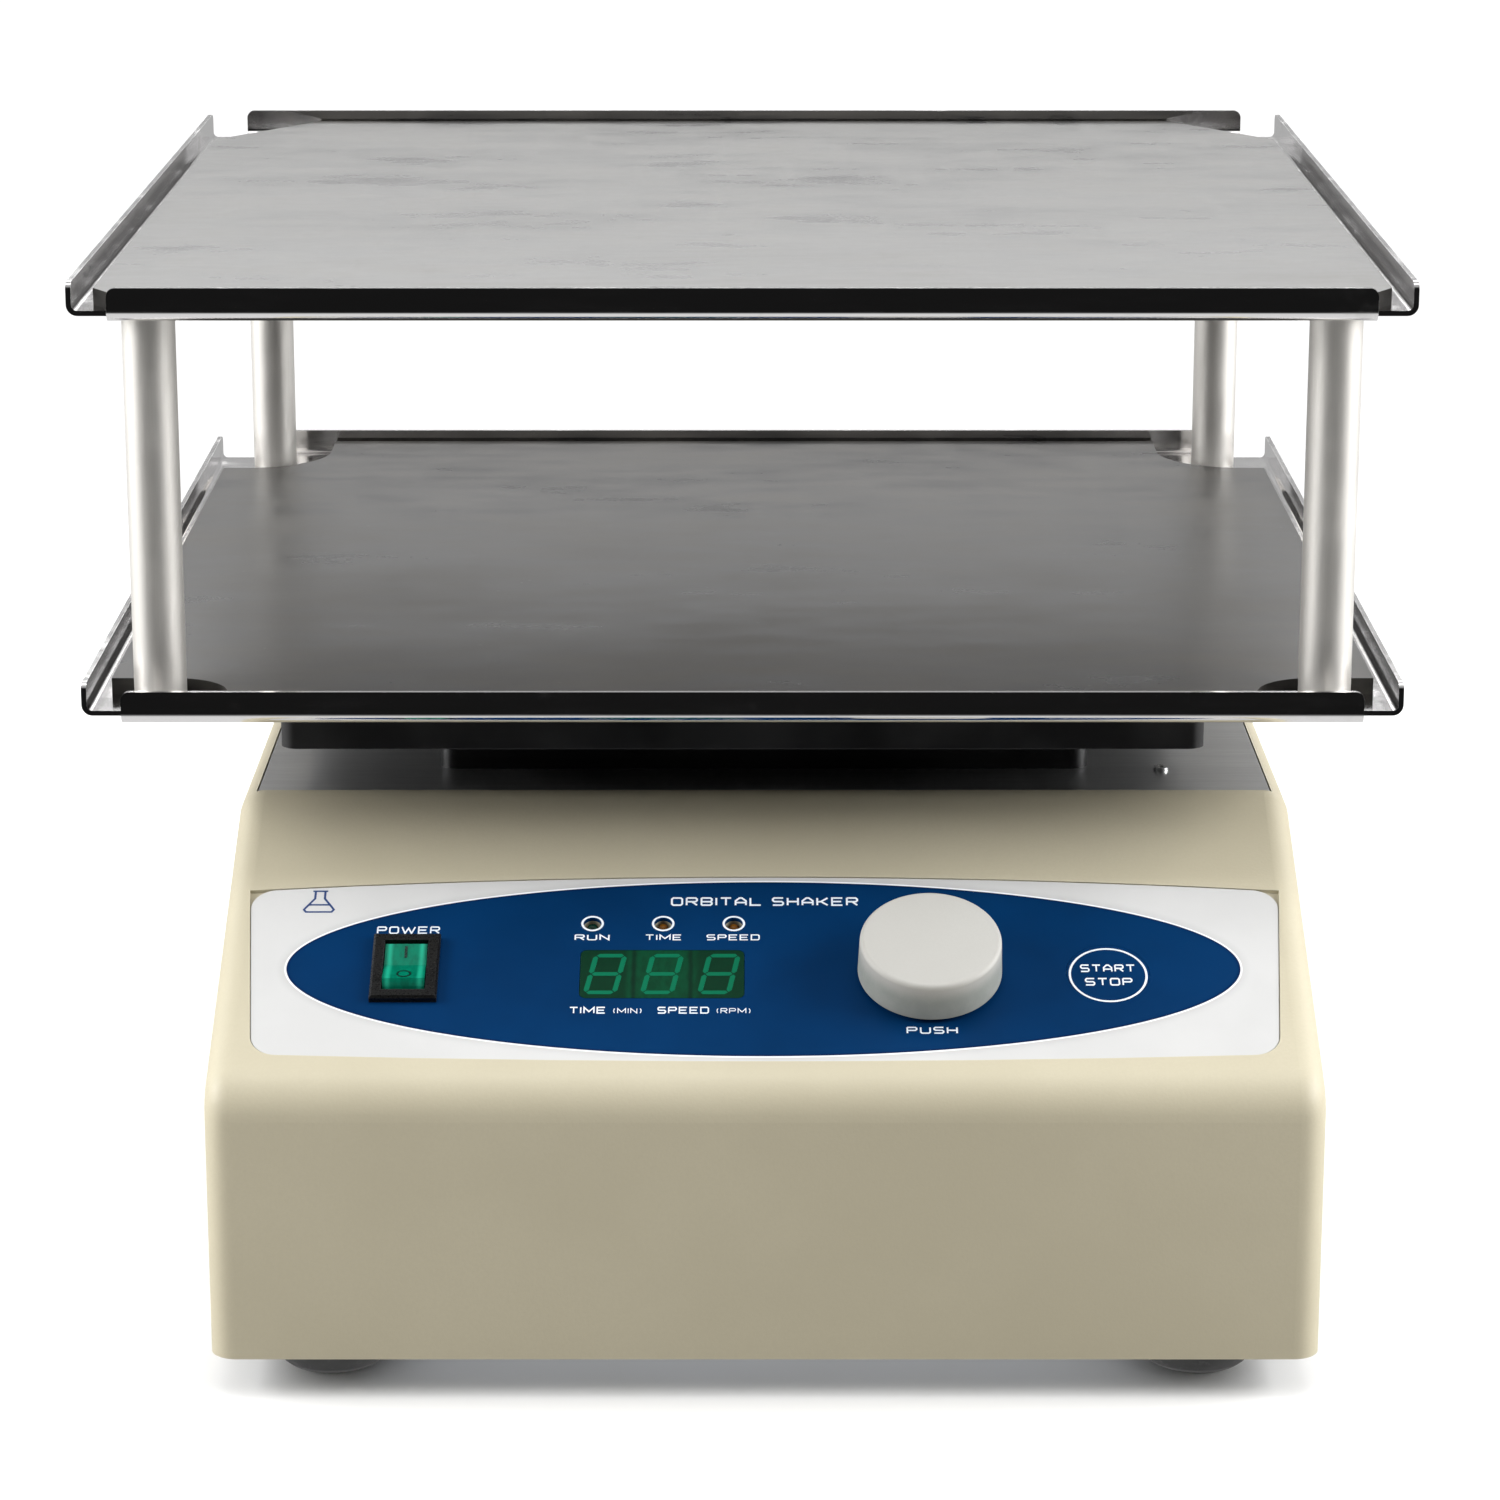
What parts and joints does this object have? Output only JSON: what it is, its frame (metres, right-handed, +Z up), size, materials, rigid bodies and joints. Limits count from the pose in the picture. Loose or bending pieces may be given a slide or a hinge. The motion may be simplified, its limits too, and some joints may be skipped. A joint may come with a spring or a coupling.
{
  "type": "orbital shaker",
  "caption": "Benchtop orbital shaker: textured housing with sloped console, eccentric crank drive, square upper and lower trays on posts with rubber mats.",
  "frame": {"origin": "bottom centre of the overall box at rest, at the height of the bench under the rubber feet; X = 0 is the middle of the trays in their rest phase", "axes": "+Z up out of the trays; -Y is the front, towards the operator and the console; +X to the operator's right"},
  "size_m": [0.3, 0.359, 0.2373],
  "materials": {
    "housing_plastic": "fine spark-textured putty moulding",
    "zinc_plate": "zinc plated sheet",
    "screw_steel": "plated screws",
    "foot_rubber": "moulded black rubber",
    "deck_aluminium": "satin sheet",
    "black_anodised": "black anodised",
    "cast_aluminium": "machined",
    "bearing_steel": "ground bearing steel",
    "shaft_steel": "turned steel",
    "belt_rubber": "ribbed belt",
    "motor_paint": "black enamel",
    "copper_winding": "enamelled copper on laminations",
    "tray_steel": "polished sheet",
    "mat_rubber": "smooth dark grey rubber with scuffs",
    "post_aluminium": "satin drawn bar",
    "label_film": "printed film, pale with a deep blue ellipse",
    "key_film": "deep blue printed film",
    "black_plastic": "black moulding",
    "green_lens": "translucent green",
    "display_filter": "dark green filter",
    "lamp_green": "green lens",
    "lamp_amber": "amber lens",
    "knob_plastic": "warm pale grey moulding",
    "circuit_board": "green laminate",
    "contact_brass": "plated contacts",
    "component_case": "mixed dark components"
  },
  "bodies": {
    "base": {"housing_shell": "housing_plastic", "chassis_plate": "zinc_plate", "chassis_screws": "screw_steel", "rubber_feet": "foot_rubber", "foot_screws": "screw_steel", "top_plate": "deck_aluminium", "earth_screw": "screw_steel", "crank_block": "black_anodised", "block_screws": "screw_steel", "spindle_housing": "cast_aluminium", "fixed_outer_rings": "bearing_steel", "drive_belt": "belt_rubber", "motor_can": "motor_paint", "motor_stator": "copper_winding", "motor_plate": "zinc_plate", "motor_standoffs": "shaft_steel", "panel_overlay": "label_film", "switch_body": "black_plastic", "display_module": "black_plastic", "display_window": "display_filter", "run_lamp": "lamp_green", "setting_lamps": "lamp_amber", "encoder_body": "black_plastic", "encoder_nut": "screw_steel", "key_switch": "black_plastic", "control_board": "circuit_board", "board_screws": "screw_steel", "power_inlet": "black_plastic", "inlet_pins": "contact_brass", "supply_board": "circuit_board", "supply_components": "component_case"},
    "drive_crank": {"crank_spindle": "shaft_steel", "drive_inner_rings": "bearing_steel", "drive_bearing_balls": "bearing_steel", "drive_pulley": "cast_aluminium", "counterweight": "shaft_steel"},
    "platform": {"carriage_plate": "black_anodised", "carriage_outer_rings": "bearing_steel", "carriage_screws": "screw_steel", "lower_tray": "tray_steel", "lower_mat": "mat_rubber", "support_posts": "post_aluminium", "post_screws": "screw_steel", "upper_tray": "tray_steel", "upper_mat": "mat_rubber"},
    "left_idler": {"left_idler_crank": "shaft_steel", "left_idler_inner_rings": "bearing_steel", "left_idler_balls": "bearing_steel"},
    "right_idler": {"right_idler_crank": "shaft_steel", "right_idler_inner_rings": "bearing_steel", "right_idler_balls": "bearing_steel"},
    "motor_shaft": {"motor_rotor": "shaft_steel", "motor_pulley": "cast_aluminium"},
    "rocker": {"power_rocker": "green_lens"},
    "dial_rotor": {"encoder_rotor": "black_plastic"},
    "dial": {"encoder_shaft": "shaft_steel", "control_knob": "knob_plastic"},
    "start_key": {"start_stop_key": "key_film"},
    "drawer": {"fuse_drawer": "black_plastic"}
  },
  "joints": [
    {"name": "crank_spin", "type": "hinge", "parent": "base", "child": "drive_crank", "pos_m": [0.005, 0.03754, 0.12], "axis": [0, 0, 1], "continuous": true},
    {"name": "platform_swivel", "type": "hinge", "parent": "drive_crank", "child": "platform", "pos_m": [0, 0.02946, 0.134], "axis": [0, 0, 1], "continuous": true},
    {"name": "left_idler_spin", "type": "hinge", "parent": "base", "child": "left_idler", "pos_m": [-0.051, 0.10754, 0.119], "axis": [0, 0, 1], "continuous": true},
    {"name": "right_idler_spin", "type": "hinge", "parent": "base", "child": "right_idler", "pos_m": [0.061, 0.10754, 0.119], "axis": [0, 0, 1], "continuous": true},
    {"name": "motor_spin", "type": "hinge", "parent": "base", "child": "motor_shaft", "pos_m": [-0.064, 0.10654, 0.06], "axis": [0, 0, 1], "continuous": true},
    {"name": "rocker_tilt", "type": "hinge", "parent": "base", "child": "rocker", "pos_m": [-0.0753, -0.14312, 0.08594], "axis": [1, 0, 0], "range_deg": [0, 16]},
    {"name": "dial_turn", "type": "hinge", "parent": "base", "child": "dial_rotor", "pos_m": [0.0418, -0.14496, 0.08729], "axis": [0, -0.4226, 0.9063], "continuous": true},
    {"name": "dial_push", "type": "slide", "parent": "dial_rotor", "child": "dial", "axis": [0, 0.4226, -0.9063], "range_m": [0, 0.0008], "stiffness_N_per_m": 600, "springref_m": -0.001},
    {"name": "start_key_push", "type": "slide", "parent": "base", "child": "start_key", "axis": [0, 0.4226, -0.9063], "range_m": [0, 0.0004], "stiffness_N_per_m": 1500, "springref_m": -0.0005},
    {"name": "fuse_drawer_pull", "type": "slide", "parent": "base", "child": "drawer", "axis": [0, 1, 0], "range_m": [0, 0.024]}
  ],
  "couplings": [
    {"joint": "platform_swivel", "follows": "crank_spin", "ratio": -1},
    {"joint": "left_idler_spin", "follows": "crank_spin", "ratio": 1},
    {"joint": "right_idler_spin", "follows": "crank_spin", "ratio": 1},
    {"joint": "motor_spin", "follows": "crank_spin", "ratio": 4}
  ]
}
